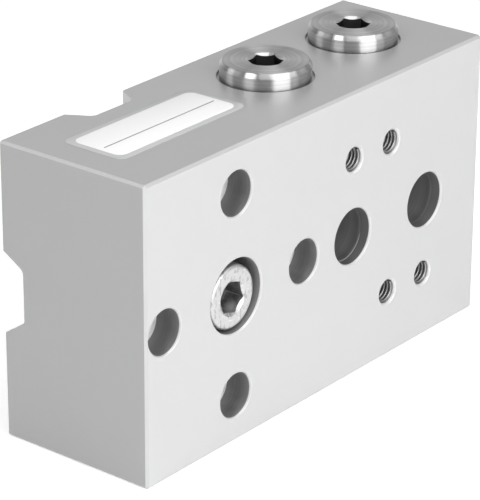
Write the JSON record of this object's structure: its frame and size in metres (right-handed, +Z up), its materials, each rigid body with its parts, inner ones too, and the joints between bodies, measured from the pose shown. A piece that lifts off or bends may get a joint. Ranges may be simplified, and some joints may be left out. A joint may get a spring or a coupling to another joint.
{
  "type": "valve mounting plate",
  "caption": "Drilled aluminium block that joins a flange-mounted valve to an actuator, with plugged air channels, counterbored screw holes and a crossed seat groove behind.",
  "frame": {"origin": "centre of the valve interface on the front face, midway between its two ports", "axes": "+X along the front to the right, +Y into the block and out at its grooved back, +Z up towards the plugs"},
  "size_m": [0.104, 0.0389, 0.0633],
  "materials": {
    "satin_aluminium": "fine satin, clear anodised",
    "turned_steel": "turned, bright nickel plated",
    "zinc_plated_steel": "pale zinc plated",
    "seal_rubber": "matt black",
    "label_film": "clear film over the metal, looks pale grey",
    "label_white": "plain white, unprinted"
  },
  "bodies": {
    "root": {"mounting_block": "satin_aluminium", "plug_left": "turned_steel", "plug_right": "turned_steel", "seal_ring_left": "seal_rubber", "seal_ring_right": "seal_rubber", "clamp_screw": "zinc_plated_steel", "label_film": "label_film", "label_panel": "label_white"}
  },
  "joints": []
}
